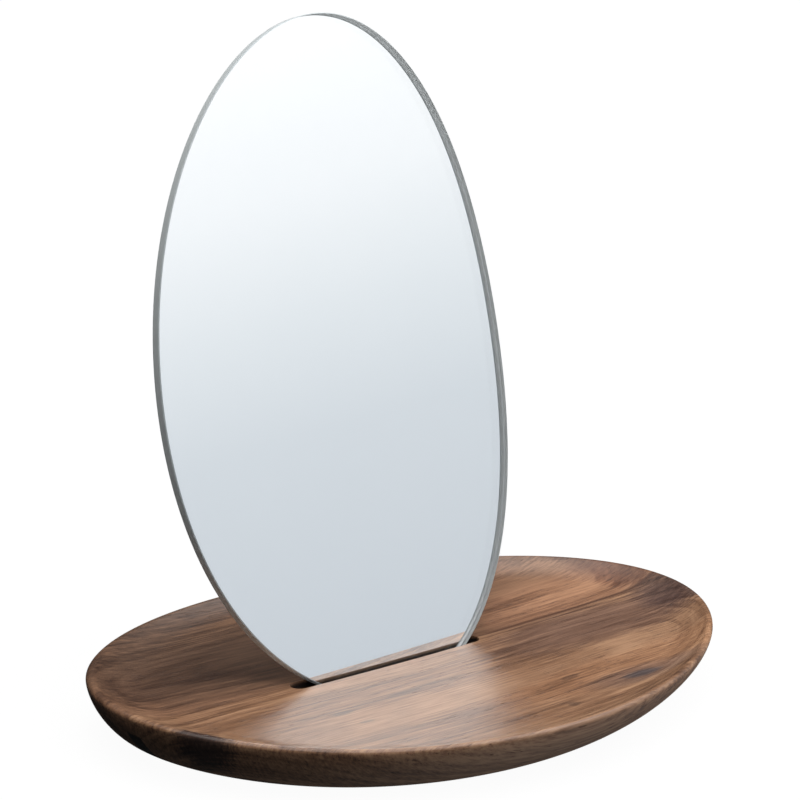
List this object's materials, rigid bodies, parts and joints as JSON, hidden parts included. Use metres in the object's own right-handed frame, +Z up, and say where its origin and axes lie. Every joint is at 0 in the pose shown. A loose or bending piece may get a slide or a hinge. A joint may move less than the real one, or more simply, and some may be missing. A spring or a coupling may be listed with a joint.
{
  "type": "vanity mirror",
  "caption": "Free-standing vanity mirror: an oval frameless glass plate leans in a slot across a dished oval wooden tray, and lifts out of it.",
  "frame": {"origin": "middle of the whole object's box, on the surface that the foot pads stand on", "axes": "+X along the tray's length and its grain, +Y from the front to the back, the way the mirror leans, +Z up"},
  "size_m": [0.3006, 0.2224, 0.2951],
  "materials": {
    "front_wood": "oiled satin",
    "back_wood": "oiled satin",
    "plate_glass": "clear, ground and polished edge",
    "silvering": "mirror",
    "seal_paint": "matt",
    "pad_rubber": "matt"
  },
  "bodies": {
    "tray": {"board_front": "front_wood", "board_back": "back_wood", "foot_front_left": "pad_rubber", "foot_front_right": "pad_rubber", "foot_back_left": "pad_rubber", "foot_back_right": "pad_rubber"},
    "mirror": {"glass_plate": "plate_glass", "silver_layer": "silvering", "backing_paint": "seal_paint"}
  },
  "joints": [
    {"name": "mirror_lift", "type": "slide", "parent": "tray", "child": "mirror", "axis": [0, 0.2419, 0.9703], "range_m": [0, 0.04]}
  ]
}
